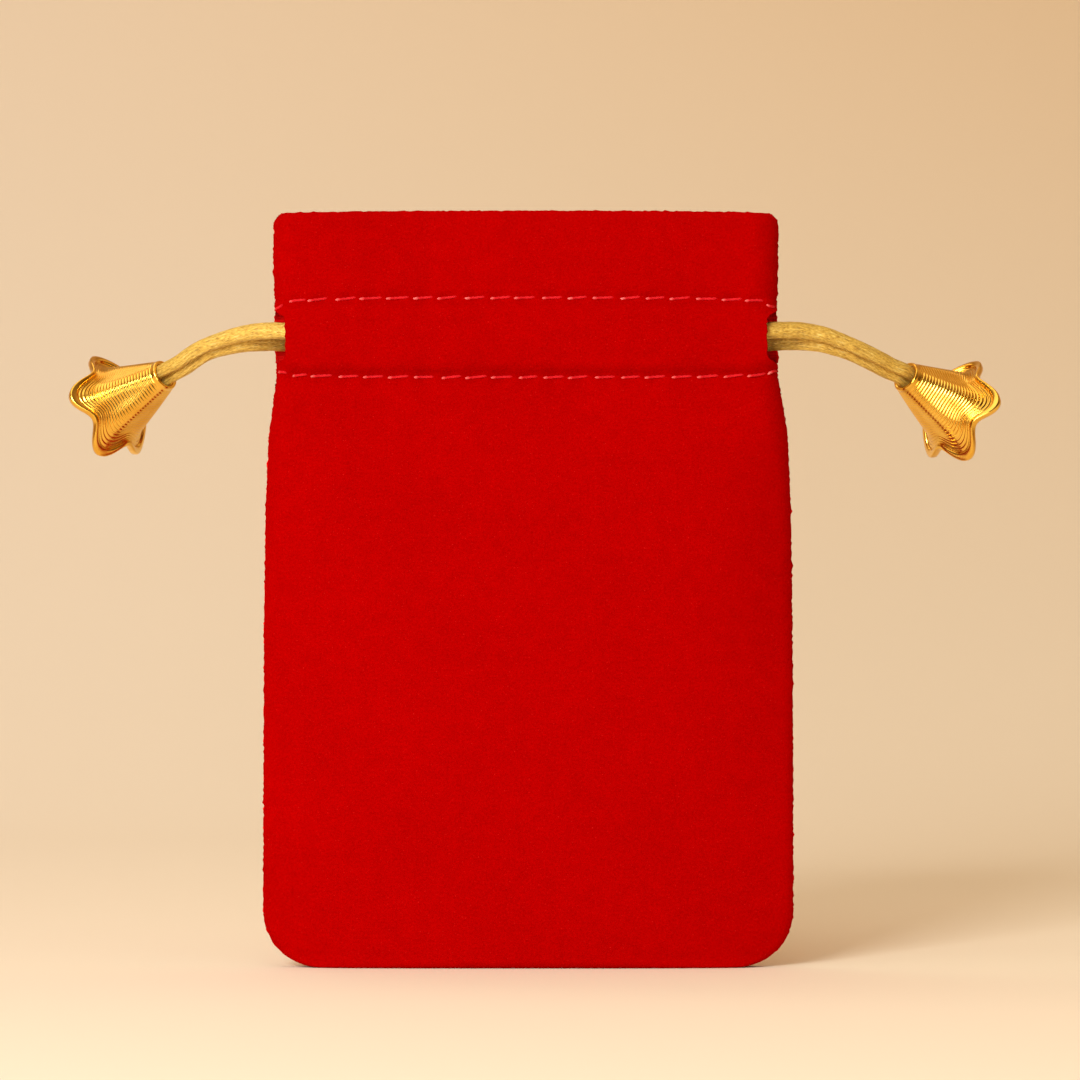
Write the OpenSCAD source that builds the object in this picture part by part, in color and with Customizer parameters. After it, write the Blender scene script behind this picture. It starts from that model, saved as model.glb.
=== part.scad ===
// Drawstring gift pouch: two velvet panels sewn together at the sides and foot,
// a casing between two stitch rows under a plain header, and two drawcords that
// leave through opposite side slots, each ending in a flower-shaped bell.
// Millimetres, +Z up, front of the pouch towards -Y.

/* [Pouch] */
// Height from the foot to the top fold
pouch_h = 141.5; // [135:0.5:160]
// Width across the lower body
body_w = 99.4; // [94:0.2:120]
// Width across the casing
casing_w = 93.8; // [92:0.2:96]
// Width across the header
header_w = 94.6; // [92:0.2:98]
// Depth of one half of the body where it is fullest
body_d = 7; // [6:0.1:12]
// Thickness of one layer of velvet
fabric_t = 0.75; // [0.6:0.05:0.75]
// Radius of the two lower corners
foot_r = 10.5; // [6:0.5:16]
// Radius of the two upper corners
top_r = 2.3; // [1:0.1:2.3]
// Width of the seam allowance folded inside
allowance = 6; // [4:0.5:9]

/* [Casing] */
// Height of the lower stitch row
lower_row = 110.4; // [104:0.2:111]
// Height of the upper stitch row
upper_row = 125.2; // [125:0.2:128]
// How far the hem runs below the lower stitch row
hem_tail = 4.9; // [3:0.1:9]
// How far the front layer is cut back at a side slot
slot_cut = 2; // [1:0.1:3]
// Distance from one stitch to the next
stitch_pitch = 4.8; // [3:0.1:6]
// Visible length of one stitch
stitch_len = 3.8; // [2:0.1:4.4]
// Thickness of the sewing thread
thread_d = 0.5; // [0.3:0.05:0.7]

/* [Cords] */
// Width of the flattened braid
cord_w = 3.1; // [2.4:0.1:3.1]
// Thickness of the flattened braid
cord_t = 1.7; // [1.2:0.1:1.7]

/* [Bells] */
// Length of a bell along its axis
bell_len = 14.8; // [12:0.1:18]
// Radius of the rim at the middle of a petal
petal_r = 10.6; // [9:0.1:12]
// Radius of the rim between two petals
valley_r = 8.2; // [7:0.1:9]
// How far the mouth leans back towards its top
mouth_lean = 8; // [0:1:20]
// Outer radius of the throat that the cord enters
throat_r = 2.75; // [2.75:0.05:3.2]
// Wall thickness of a bell
bell_wall = 0.55; // [0.4:0.05:0.6]

/* [Hidden] */

velvet_red = [0.8, 0, 0];
thread_red = [0.9, 0.25, 0.25];
cord_gold = [0.87, 0.66, 0.24];
plate_gold = [0.93, 0.66, 0.12];

// Half the gap left between two faces that lie against each other
lie = 0.05;
// Half thickness of the turned seam at a body edge
seam_half = 2 * fabric_t + lie;
// Radius over which the body and the casing round into their side edges
body_round = 1.85;
casing_round = 5;
// Outer face of the cloth at a closed header edge and at the bare body edge
closed_edge = fabric_t + lie;
body_edge = 0.35;
// The casing channel: half its clear depth, beyond the pinch of the stitch rows
channel = 1;
// Side slot: lowest and highest point of the front cut, and the cloth's outer face beside it
slot_lo = 113.5;
slot_hi = 122;
slot_face = 5.5;
// Half width of the hem where it is cut back for the cords' turns
hem_cut = 36.5;
// Inset of the hem from the side edge
hem_inset = 0.5;
// Depth of the flat part of the foot, and of the roll above it
foot_flat = 3.6;
// Depth of the plane midway between the outer layer and the hem, where the cords run
mid_plane = 3.85;
// How much the top edge drops towards its ends
top_drop = 0.35;

function ease(lo, hi, v) = let (t = min(1, max(0, (v - lo) / (hi - lo)))) t * t * (3 - 2 * t);
function mix(a, b, t) = a + (b - a) * t;
function unit(v) = v / norm(v);

// Half width of the outer layer at a height
function half_w(z) =
    z < foot_r ? body_w / 2 - foot_r + sqrt(foot_r * foot_r - (foot_r - z) * (foot_r - z))
    : z > pouch_h - top_r ? header_w / 2 - top_r + sqrt(max(0, top_r * top_r - pow(z - pouch_h + top_r, 2)))
    : lookup(z, [[foot_r, body_w / 2], [60, body_w / 2 - 0.15], [85, body_w / 2 - 0.45],
        [100, body_w / 2 - 1.1], [lower_row, casing_w / 2 + 0.1], [118, casing_w / 2],
        [upper_row, casing_w / 2 + 0.2], [132, header_w / 2]]);

// How far the casing channel is open at a height, from 0 to 1
function opened(z) = lookup(z, [[lower_row, 0], [lower_row + 0.8, 0.25], [lower_row + 1.6, 0.75],
    [lower_row + 2.4, 1], [upper_row - 2.4, 1], [upper_row - 1.6, 0.75],
    [upper_row - 0.8, 0.25], [upper_row, 0]]);

// Outer face of the cloth at the side edge
function edge_face(z) = lookup(z, [[98, body_edge], [106, closed_edge], [112, closed_edge],
    [113.4, 3.3], [114.6, slot_face], [121.4, slot_face], [122.6, 3.3], [124, closed_edge]]);

// Outer face of the cloth away from the edges
function open_face(x, z, w) = let (
        fullness = lookup(z, [[0, 4.6], [3, 4.8], [10, 5.3], [30, body_d - 0.6], [60, body_d],
            [88, body_d - 0.2], [lower_row, body_d - 0.8]]),
        squareness = mix(3, 8, ease(55, lower_row, z)),
        body = mix(seam_half, fullness, 1 - pow(min(1, abs(x) / w), squareness)),
        top = mid_plane + lie + fabric_t)
    mix(body, top, ease(88, lower_row, z)) + channel * opened(z);

function face_y(x, z, w) = let (
        d = w - abs(x),
        r = mix(body_round, casing_round, ease(90, 106, z)),
        edge = edge_face(z),
        turn = sqrt(max(0, 1 - pow(1 - min(1, d / r), 2))))
    mix(edge, open_face(x, z, w), turn);

// Reverse of the outer layer, doubled where the seam allowance lies against it
function reverse_y(x, z, w) = let (
        d = w - abs(x),
        layers = z < 103 && (d < allowance + 0.3 || z < allowance + 0.3) ? 2 : 1)
    max(lie, face_y(x, z, w) - fabric_t * layers);

// The sheet is a grid of rows from the foot seam up the outer layer, over the
// top fold and down the hem. A row is [kind, height or angle].
fold_z = pouch_h - fabric_t - lie;
outer_heights = [3, 4.3, 6, 6.6, 10.5, 18, 30, 45, 60, 75, 88, 98, 104, 107.5, 109.6,
    lower_row, lower_row + 0.8, lower_row + 1.6, lower_row + 2.4, slot_lo - 0.1, slot_lo,
    114.6, 118, 121.4, slot_hi, slot_hi + 0.1, 122.8, upper_row - 1.6, upper_row - 0.8,
    upper_row, 126.2, 129, 134, pouch_h - top_r, fold_z];
hem_heights = [fold_z, 137, 130, upper_row, upper_row - 0.4, upper_row - 0.7,
    upper_row - 1.6, upper_row - 2.4, 118, lower_row + 2.4, lower_row + 1.6,
    lower_row + 0.9, lower_row + 0.6, lower_row, 109.6, 107.5, lower_row - hem_tail];
rows = concat(
    [for (i = [0:3]) ["foot", i]],
    [for (z = outer_heights) ["outer", z]],
    [for (a = [36:36:144]) ["fold", a]],
    [for (z = hem_heights) ["hem", z]]);

// Columns, given by the distance from the side edge and then by shares of the rest
edge_steps = [0, 0.3, 1, 1.85, 3.4, allowance, allowance + 0.6];
inner_shares = [0.82, 0.6, 0.4, 0.2];
function columns(w) = concat(
    [for (d = edge_steps) d - w],
    [for (s = inner_shares) -s * (w - allowance - 0.6)],
    [0],
    [for (i = [len(inner_shares) - 1:-1:0]) inner_shares[i] * (w - allowance - 0.6)],
    [for (i = [len(edge_steps) - 1:-1:0]) w - edge_steps[i]]);

// Half width of a layer, cut back on the front at the side slots
function outer_w(z, front) =
    z >= slot_lo && z <= slot_hi ? (front ? half_w(z) - slot_cut : half_w(z) + 0.5) : half_w(z);
function hem_w(z) =
    z > upper_row - 0.5 ? half_w(min(z, 137)) - hem_inset
    : z > lower_row + 0.8 ? hem_cut
    : z > 109 ? half_w(z) - hem_inset : half_w(z) - allowance - 1.5;

// Depth of the hem's reverse, which faces the cords
function hem_back(x, z) =
    min(reverse_y(x, z, half_w(z)) - 2 * lie, z < lower_row ? 9 : mid_plane - lie - channel * opened(z));

function dropped(x, z) = z - top_drop * pow(abs(x) * 2 / header_w, 2) * ease(126, pouch_h - 2, z);

// One row of the face or of the reverse
foot_face = [[lie, 0], [foot_flat, 0], [4.2, 0.45], [4.55, 1.4]];
foot_back = [[lie, 1.8], [2.4, 1.8], [2.7, 2], [2.9, 2.6]];
function foot_row(i, back) = let (
        w = half_w(foot_face[i][1]),
        far = back ? foot_back[i] : foot_face[i],
        near = i == 0 ? lie : back ? 0.12 : body_edge)
    [for (x = columns(w)) let (t = sqrt(1 - pow(1 - min(1, (w - abs(x)) / body_round), 2)))
        [x, mix(near, far[0] * (1 - 0.18 * pow(abs(x) / w, 4)), t), far[1]]];
function outer_row(z, back, front) = let (w = outer_w(z, front))
    [for (x = columns(w)) [x, back ? reverse_y(x, z, w) : face_y(x, z, w), dropped(x, z)]];
function hem_row(z, back) = [for (x = columns(hem_w(z)))
    [x, max(lie, hem_back(x, z) - (back ? 0 : fabric_t)), dropped(x, z)]];
function fold_row(a, back, front) = let (
        r = back ? lie : fabric_t + lie,
        outer = outer_row(fold_z, back, front),
        hem = hem_row(fold_z, back),
        top = half_w(fold_z + r * sin(a)),
        w = a <= 90 ? top : mix(top, hem_w(fold_z), (a - 90) / 90),
        xs = columns(w))
    [for (i = [0:len(xs) - 1]) [xs[i],
        (outer[i][1] + hem[i][1]) / 2 + (outer[i][1] - hem[i][1]) / 2 * cos(a),
        dropped(xs[i], fold_z + r * sin(a))]];
function sheet_row(row, back, front) =
    row[0] == "foot" ? foot_row(row[1], back)
    : row[0] == "outer" ? outer_row(row[1], back, front)
    : row[0] == "fold" ? fold_row(row[1], back, front)
    : hem_row(row[1], back);

// A panel: the grid of its face, the grid of its reverse, and the four edges
module panel(front) {
    side = front ? -1 : 1;
    face = [for (row = rows) each sheet_row(row, false, front)];
    back = [for (row = rows) each sheet_row(row, true, front)];
    points = [for (p = concat(face, back)) [p[0], side * p[1], p[2]]];
    n = len(columns(half_w(60)));
    m = len(rows);
    half = n * m;
    cells = [for (j = [0:m - 2], i = [0:n - 2]) [j * n + i, j * n + i + 1, j * n + n + i + 1, j * n + n + i]];
    rim = concat([for (i = [0:n - 1]) i], [for (j = [1:m - 1]) j * n + n - 1],
        [for (i = [n - 2:-1:0]) (m - 1) * n + i], [for (j = [m - 2:-1:1]) j * n]);
    faces = concat(
        [for (c = cells) each [[c[0], c[1], c[2]], [c[0], c[2], c[3]]]],
        [for (c = cells) each [[c[2] + half, c[1] + half, c[0] + half], [c[3] + half, c[2] + half, c[0] + half]]],
        [for (k = [0:len(rim) - 1]) let (a = rim[k], b = rim[(k + 1) % len(rim)])
            each [[b, a, a + half], [b, a + half, b + half]]]);
    color(velvet_red)
        polyhedron(points, front ? [for (f = faces) [f[2], f[1], f[0]]] : faces);
}

// A tube through route points given as [point, half width, half thickness],
// its width kept as upright as its direction allows
function crosswise(t) = unit([0, 0, 1] - t[2] * t);
function ring_at(route, i, sides) = let (
        last = len(route) - 1,
        t = unit(route[min(last, i + 1)][0] - route[max(0, i - 1)][0]),
        n = crosswise(t),
        b = cross(t, n))
    [for (k = [0:sides - 1]) let (a = 360 * (k + 0.5) / sides)
        route[i][0] + n * route[i][1] * cos(a) + b * route[i][2] * sin(a)];
module tube(route, sides) {
    m = len(route);
    points = [for (i = [0:m - 1]) each ring_at(route, i, sides)];
    faces = concat(
        [[for (k = [sides - 1:-1:0]) k]],
        [for (j = [0:m - 2], k = [0:sides - 1]) let (a = j * sides + k, b = j * sides + (k + 1) % sides)
            each [[a, b, b + sides], [a, b + sides, a + sides]]],
        [[for (k = [0:sides - 1]) (m - 1) * sides + k]]);
    polyhedron(points, [for (f = faces) [for (i = [len(f) - 1:-1:0]) f[i]]]);
}

// One stitch row: short arched stitches on the outside and, half a pitch on, on the inside
stitch_reach = 43.4;
stitch_sides = 5;
stitch_rise = 0.12;
function stitch_z(x, z) = z + (z > 118 ? -0.7 : 0.6) * pow(abs(x) / 46, 4);
function stitch(x, z, side, outside) = [for (s = [-1, -0.7, 0.7, 1]) let (
        sx = x + s * stitch_len / 2,
        sz = stitch_z(x, z) + s * stitch_rise,
        w = half_w(z),
        out = outside ? face_y(sx, z, w) : max(lie, hem_back(sx, z) - fabric_t),
        sink = abs(s) == 1 ? 0.45 : -0.05)
    [[sx, side * (outside ? out - sink : out + sink), sz], thread_d / 2, thread_d / 2]];
module stitching(z, side) {
    count = floor(stitch_reach / stitch_pitch);
    color(thread_red) {
        for (i = [-count:count]) tube(stitch(i * stitch_pitch, z, side, true), stitch_sides);
        for (i = [-count + 2:count - 3]) tube(stitch((i + 0.5) * stitch_pitch, z, side, false), stitch_sides);
    }
}

// Seam thread: one lockstitch that weaves through both edges, a little inside the outline
seam_in = 1.2;
seam_step = 3;
seam_bite = 0.35;
function seam_inset(z) = mix(seam_in, 0.3, ease(98, 106, z));
function seam_amp(x, z) = z < foot_r ? 0.5 : reverse_y(x, z, half_w(z)) + seam_bite;
function seam_side(lo, hi, side) = [for (z = [lo:seam_step:hi]) [side * (half_w(z) - seam_inset(z)), z]];
function seam_corner(side) = [for (a = [70:-20:10]) [
    side * (body_w / 2 - foot_r + (foot_r - seam_in) * cos(90 - a)),
    foot_r - (foot_r - seam_in) * sin(90 - a)]];
function backwards(list) = [for (i = [len(list) - 1:-1:0]) list[i]];
module seam_thread(outline) {
    route = [for (i = [0:len(outline) - 1]) [
        [outline[i][0], (i % 2 == 0 ? 1 : -1) * seam_amp(outline[i][0], outline[i][1]), outline[i][1]],
        thread_d / 2.4, thread_d / 2.4]];
    color(thread_red) thread_run(route, stitch_sides);
}
// A thread in the plane of the seam keeps its section square to the outline
module thread_run(route, sides) {
    m = len(route);
    points = [for (i = [0:m - 1]) let (
            t = unit(route[min(m - 1, i + 1)][0] - route[max(0, i - 1)][0]),
            n = unit([0, 1, 0] - t[1] * t), b = cross(t, n))
        for (k = [0:sides - 1]) let (a = 360 * k / sides)
            route[i][0] + n * route[i][1] * cos(a) + b * route[i][2] * sin(a)];
    faces = concat(
        [[for (k = [sides - 1:-1:0]) k]],
        [for (j = [0:m - 2], k = [0:sides - 1]) let (a = j * sides + k, b = j * sides + (k + 1) % sides)
            each [[a, b, b + sides], [a, b + sides, a + sides]]],
        [[for (k = [0:sides - 1]) (m - 1) * sides + k]]);
    polyhedron(points, [for (f = faces) [for (i = [len(f) - 1:-1:0]) f[i]]]);
}

// Cord tails: the middle of the two strands, from the slot to the bell's throat
left_tail = [[-45, 0, 118], [-47.8, 0, 118.1], [-50.4, 0.05, 118], [-52.8, 0.15, 117.8],
    [-55.1, 0.35, 117.4], [-57.4, 0.6, 116.8], [-59.6, 1, 116.1], [-61.6, 1.5, 115.2],
    [-63.5, 2.2, 114], [-65.1, 3, 112.9]];
right_tail = [[45, 0, 118.1], [47.6, 0, 118.2], [50.4, 0.05, 118.2], [52.9, 0.2, 118],
    [55.4, 0.4, 117.6], [57.6, 0.7, 116.9], [59.8, 1.1, 116.1], [62, 1.6, 115.2],
    [64.1, 2.3, 114.2], [66.2, 3.2, 113.2], [67.8, 4, 112.4]];
left_throat = [-68.4, 5, 111.2];
right_throat = [71.1, 5.6, 110.9];
left_axis = unit([-0.733, 0.545, -0.406]);
right_axis = unit([0.715, 0.545, -0.438]);
// How far the cord goes into the bell, and where the knot starts
cord_in = 2.65;
knot_from = 2.75;
knot_len = 5.2;
// Half the distance between the two strands of a tail, up and in depth, by the share
// of the way to the bell
strand_rise = [[0, 1.03], [0.15, 1.03], [0.45, 0.62], [1, 0.65]];
strand_depth = [[0, 3.5], [0.077, 2.6], [0.154, 1.75], [0.23, 1.25], [0.31, 1], [0.4, 0.92]];
// Half width and half thickness of a strand where it enters the bell
strand_half = [1.2, 0.85];

// The strands come out of the two layers' slots and close up, the upper one in front
function tail_middle(tail, throat, axis) =
    concat(tail, [for (a = [-1.4, 0, 1.5, cord_in]) throat + axis * a]);
function strand(tail, throat, axis, side) = let (
        line = tail_middle(tail, throat, axis),
        last = len(line) - 1)
    [for (i = [0:last]) let (
            t = unit(line[min(last, i + 1)] - line[max(0, i - 1)]),
            n = crosswise(t),
            b = cross(t, n),
            s = i / last)
        [line[i] + side * (n * lookup(s, strand_rise)
                - b * sign(b[1]) * lookup(s, strand_depth)),
            mix(cord_w / 2, strand_half[0], ease(0, 1, s)), mix(cord_t / 2, strand_half[1], ease(0, 1, s))]];

// Inside the casing: [x, height of the front run, height of the back run]
function along(stations, side) = [for (s = stations)
    [[s[0], side * mid_plane, side < 0 ? s[1] : s[2]], cord_w / 2, cord_t / 2]];
left_run = [[-42, 119.5, 117.2], [-39, 119.7, 118.2], [-36, 119.9, 119.2],
    [-32, 120, 119.9], [-24, 120, 120], [-16, 120, 120], [-8, 120, 120],
    [0, 120, 120], [8, 120, 120], [16, 120.1, 120.1], [24, 120.6, 120.6],
    [30, 121.7, 121.7], [34, 122.4, 122.4]];
right_run = [[42, 118.6, 116.4], [39, 117.3, 116], [36, 116.3, 115.8],
    [32, 115.8, 115.7], [24, 115.7, 115.7], [16, 115.7, 115.7], [8, 115.7, 115.7],
    [0, 115.7, 115.7], [-8, 115.7, 115.7], [-16, 115.6, 115.6], [-24, 115.1, 115.1],
    [-30, 114, 114], [-34, 113.4, 113.4]];
// The turn at the far end of the casing
turn_x = 36.6;
left_turn_z = 122.6;
right_turn_z = 113.2;
function far_turn(side, z) = [for (a = [-90:30:90])
    [[side * (turn_x + mid_plane * cos(a)), mid_plane * sin(a), z], cord_w / 2, cord_t / 2]];

module drawcord(tail, throat, axis, run, side, turn_z) {
    color(cord_gold) tube(concat(
        backwards(strand(tail, throat, axis, 1)),
        along(run, -1),
        far_turn(side, turn_z),
        backwards(along(run, 1)),
        strand(tail, throat, axis, -1)), 8);
}

// Bell: a cone that turns out into a rim of five petals, round its own axis
petals = 5;
petal_turn = 31;
bell_sides = 50;
// Radius the cone would have at the rim, and the share of the length where the flare starts
cone_r = 7.2;
flare_from = 0.8;
// How far the lip at the throat stands out, and how far a petal's tip reaches forward
lip_out = 0.12;
tip_reach = 1.3;
rim_wall = 0.9;
bell_shares = [0, 0.033, 0.053, 0.15, 0.3, 0.48, 0.66, 0.8, 0.87, 0.92, 0.96, 0.985, 1];
// A point of the bell's outside as [distance along the axis, radius]; petal is 1 at a
// petal's middle and -1 between two
function bell_point(share, petal) = let (
        cone = mix(throat_r, cone_r, share) + (share < 0.04 ? lip_out : 0),
        flare = ((petal_r + valley_r) / 2 - cone_r) * pow(max(0, (share - flare_from) / (1 - flare_from)), 2.5),
        swell = (petal_r - valley_r) / 2 * mix(0.5 * share, 1, pow(share, 10)))
    [bell_len * share + tip_reach * petal * pow(share, 6), cone + flare + swell * petal];
// The same point set in from the outside by a wall, square to the surface
function bell_inner(share, petal, wall) = let (
        step = 0.01,
        t = unit(bell_point(min(1, share + step), petal) - bell_point(max(0, share - step), petal)))
    bell_point(share, petal) + wall * (share < 0.04 ? [0, -1] : [t[1], -t[0]]);
function facing(axis) = unit([0, -1, 0] + axis[1] * axis);
function above(axis) = let (v = cross(axis, facing(axis))) v[2] < 0 ? -v : v;
function bell_ring(share, wall, throat, axis) = let (
        lean = mouth_lean * share * share,
        up = above(axis) * cos(lean) - axis * sin(lean))
    [for (k = [0:bell_sides - 1]) let (
        angle = 360 * k / bell_sides,
        p = bell_inner(share, cos(petals * (angle - petal_turn)), wall))
    throat + axis * p[0] + facing(axis) * p[1] * cos(angle) + up * p[1] * sin(angle)];
module bell(throat, axis) {
    m = len(bell_shares);
    rings = concat(
        [for (s = bell_shares) bell_ring(s, 0, throat, axis)],
        [for (i = [m - 1:-1:0]) bell_ring(bell_shares[i],
            bell_shares[i] < 0.04 ? bell_wall + lip_out
            : mix(bell_wall, rim_wall, ease(0.87, 0.96, bell_shares[i])), throat, axis)]);
    points = [for (r = rings) each r];
    count = len(rings);
    faces = [for (j = [0:count - 1], k = [0:bell_sides - 1]) let (
            a = j * bell_sides + k, b = j * bell_sides + (k + 1) % bell_sides,
            c = (j + 1) % count * bell_sides)
        each [[a, b, c + (k + 1) % bell_sides], [a, c + (k + 1) % bell_sides, c + k]]];
    turned = axis[0] < 0;
    color(plate_gold)
        polyhedron(points, turned ? [for (f = faces) [f[2], f[1], f[0]]] : faces);
}

// Knot of the two cord ends, three turns of cord drawn tight
knot_turn_r = 0.86;
knot_mid_r = 2.1;
module end_knot(throat, axis) {
    e1 = facing(axis);
    e2 = cross(axis, e1);
    p = throat + axis * knot_from;
    color(cord_gold)
        multmatrix([[e1[0], e2[0], axis[0], p[0]], [e1[1], e2[1], axis[1], p[1]],
            [e1[2], e2[2], axis[2], p[2]], [0, 0, 0, 1]])
            rotate_extrude($fn = 40) union() {
                translate([0, 0.25]) square([knot_mid_r, knot_len - 0.5]);
                for (i = [0:2])
                    intersection() {
                        translate([knot_mid_r, knot_turn_r + i * (knot_len - 2 * knot_turn_r) / 2])
                            circle(r = knot_turn_r, $fn = 24);
                        square([knot_mid_r + knot_turn_r, knot_len]);
                    }
            }
}

module front_panel() { panel(true); }
module back_panel() { panel(false); }
module front_upper_stitching() { stitching(upper_row, -1); }
module front_lower_stitching() { stitching(lower_row, -1); }
module back_upper_stitching() { stitching(upper_row, 1); }
module back_lower_stitching() { stitching(lower_row, 1); }
module body_seam_thread() {
    seam_thread(concat(
        backwards(seam_side(foot_r, 112, -1)), seam_corner(-1),
        [for (x = [-39:seam_step:39]) [x, seam_in]],
        backwards(seam_corner(1)), seam_side(foot_r, 112, 1)));
}
module left_header_seam_thread() { seam_thread(seam_side(124.6, 138, -1)); }
module right_header_seam_thread() { seam_thread(seam_side(124.6, 138, 1)); }
module left_drawcord() { drawcord(left_tail, left_throat, left_axis, left_run, 1, left_turn_z); }
module right_drawcord() { drawcord(right_tail, right_throat, right_axis, right_run, -1, right_turn_z); }
module left_bell() { bell(left_throat, left_axis); }
module right_bell() { bell(right_throat, right_axis); }
module left_end_knot() { end_knot(left_throat, left_axis); }
module right_end_knot() { end_knot(right_throat, right_axis); }

front_panel();
back_panel();
front_upper_stitching();
front_lower_stitching();
back_upper_stitching();
back_lower_stitching();
body_seam_thread();
left_header_seam_thread();
right_header_seam_thread();
left_drawcord();
right_drawcord();
left_bell();
right_bell();
left_end_knot();
right_end_knot();
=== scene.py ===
"""Drawstring gift pouch in red velvet, with gold cords that end in flower-shaped bells.

Lengths inside the functions are millimetres; MM turns them into the frame's metres.
"""

import math

import bpy
import numpy as np
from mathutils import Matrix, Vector


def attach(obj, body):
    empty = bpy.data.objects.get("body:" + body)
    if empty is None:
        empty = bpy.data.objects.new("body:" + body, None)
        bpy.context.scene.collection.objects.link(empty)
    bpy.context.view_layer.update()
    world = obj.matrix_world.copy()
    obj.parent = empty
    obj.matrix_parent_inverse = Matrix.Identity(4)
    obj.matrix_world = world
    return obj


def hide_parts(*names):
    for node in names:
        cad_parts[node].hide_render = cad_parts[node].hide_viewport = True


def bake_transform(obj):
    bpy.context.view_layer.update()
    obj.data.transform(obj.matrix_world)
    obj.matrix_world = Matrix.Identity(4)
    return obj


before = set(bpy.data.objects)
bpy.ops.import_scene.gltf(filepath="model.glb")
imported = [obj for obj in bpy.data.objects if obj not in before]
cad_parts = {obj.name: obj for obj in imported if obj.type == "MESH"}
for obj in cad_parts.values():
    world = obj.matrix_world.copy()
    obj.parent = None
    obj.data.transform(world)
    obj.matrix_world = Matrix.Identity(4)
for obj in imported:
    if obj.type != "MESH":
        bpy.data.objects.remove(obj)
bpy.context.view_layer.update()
MM = 0.001


# ---------------------------------------------------------------- camera
camera = bpy.data.objects.new("camera", bpy.data.cameras.new("camera"))
bpy.context.scene.collection.objects.link(camera)
camera.location = (2.2 * MM, -900 * MM, 80 * MM)
camera.rotation_euler = (math.radians(90), 0, 0)
camera.data.lens = 160
camera.data.sensor_width = 36
camera.data.clip_end = 20
bpy.context.scene.camera = camera
bpy.context.scene.view_settings.view_transform = "Standard"


# ---------------------------------------------------------------- small helpers
def ease(lo, hi, v):
    """0 before lo and 1 after hi, with a smooth step between; lo may be the larger."""
    t = np.clip((np.asarray(v, float) - lo) / (hi - lo), 0, 1)
    return t * t * (3 - 2 * t)


def mix(a, b, t):
    return a + (b - a) * t


def unit(v):
    v = np.asarray(v, float)
    return v / np.linalg.norm(v, axis=-1, keepdims=True)


def table(v, pairs):
    """Value at v from (place, value) pairs, straight between them."""
    xs, ys = zip(*pairs)
    return np.interp(v, xs, ys)


def wavy(points, size, seed, octaves=2):
    """Smooth noise from -1 to 1 at 2-D points, with features about that size."""
    lattice = np.random.default_rng(seed).uniform(-1, 1, (64, 64))
    total, weight = 0.0, 1.0
    for k in range(octaves):
        p = np.asarray(points, float) / size * 2**k + 17.3 * k
        cell = np.floor(p).astype(int)
        f = p - cell
        f = f * f * (3 - 2 * f)
        i, j = cell[..., 0] % 64, cell[..., 1] % 64
        i1, j1 = (i + 1) % 64, (j + 1) % 64
        low = mix(lattice[i, j], lattice[i1, j], f[..., 0])
        high = mix(lattice[i, j1], lattice[i1, j1], f[..., 0])
        total = total + weight * mix(low, high, f[..., 1])
        weight *= 0.5
    return total / (2 - 2 * weight)


def new_piece(name, points, faces, materials, uv=None, face_material=None, normals=None):
    """A mesh piece from points in mm. uv is one pair for each point."""
    mesh = bpy.data.meshes.new(name)
    points = np.asarray(points, float) * MM
    faces = np.asarray(faces, np.int32)
    corners = faces.shape[1]
    mesh.vertices.add(len(points))
    mesh.vertices.foreach_set("co", points.astype(np.float32).ravel())
    mesh.loops.add(faces.size)
    mesh.loops.foreach_set("vertex_index", faces.ravel())
    mesh.polygons.add(len(faces))
    mesh.polygons.foreach_set("loop_start", np.arange(0, faces.size, corners, dtype=np.int32))
    mesh.polygons.foreach_set("use_smooth", np.ones(len(faces), bool))
    for m in materials:
        mesh.materials.append(m)
    if face_material is not None:
        mesh.polygons.foreach_set("material_index", np.asarray(face_material, np.int32))
    mesh.update(calc_edges=True)
    mesh.validate()
    if uv is not None:
        layer = mesh.uv_layers.new(name="cloth")
        layer.data.foreach_set("uv", np.asarray(uv, np.float32)[faces.ravel()].ravel())
    if normals is not None:
        mesh.normals_split_custom_set_from_vertices(normals.tolist())
    obj = bpy.data.objects.new(name, mesh)
    bpy.context.scene.collection.objects.link(obj)
    return obj


def grid_faces(rows, cols, closed_cols=False):
    """Quads of a grid of points; closed_cols joins its last column to its first."""
    i = np.arange(rows - 1)[:, None]
    j = np.arange(cols if closed_cols else cols - 1)[None, :]
    a = i * cols + j
    b = i * cols + (j + 1) % cols
    return np.stack([a, b, b + cols, a + cols], -1).reshape(-1, 4)


def vertex_normals(points, faces):
    """Smooth normals of the whole cloth, so that no line shows between its blocks."""
    p = points[faces]
    n = np.cross(p[:, 2] - p[:, 0], p[:, 3] - p[:, 1])
    total = np.zeros_like(points)
    for k in range(4):
        np.add.at(total, faces[:, k], n)
    return unit(total + 1e-12)


# ---------------------------------------------------------------- materials
def material(name, **sockets):
    m = bpy.data.materials.new(name)
    m.use_nodes = True
    shader = m.node_tree.nodes["Principled BSDF"]
    for key, value in sockets.items():
        shader.inputs[key.replace("_", " ")].default_value = value
    return m, m.node_tree, shader


def add(tree, kind, links=(), **values):
    """A node with its values, and its links as (output socket, input name)."""
    node = tree.nodes.new(kind)
    for key, value in values.items():
        if hasattr(node, key) and key not in node.inputs:
            setattr(node, key, value)
        else:
            node.inputs[key.replace("_", " ")].default_value = value
    for socket, name in links:
        tree.links.new(socket, node.inputs[name])
    return node


def ramp(tree, source, stops):
    """Colour from a value, by (place, colour) stops."""
    node = tree.nodes.new("ShaderNodeValToRGB")
    tree.links.new(source, node.inputs[0])
    band = node.color_ramp
    while len(band.elements) < len(stops):
        band.elements.new(0.5)
    for element, (place, colour) in zip(band.elements, stops):
        element.position = place
        element.color = colour if len(colour) == 4 else (*colour, 1)
    return node.outputs[0]


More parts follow.
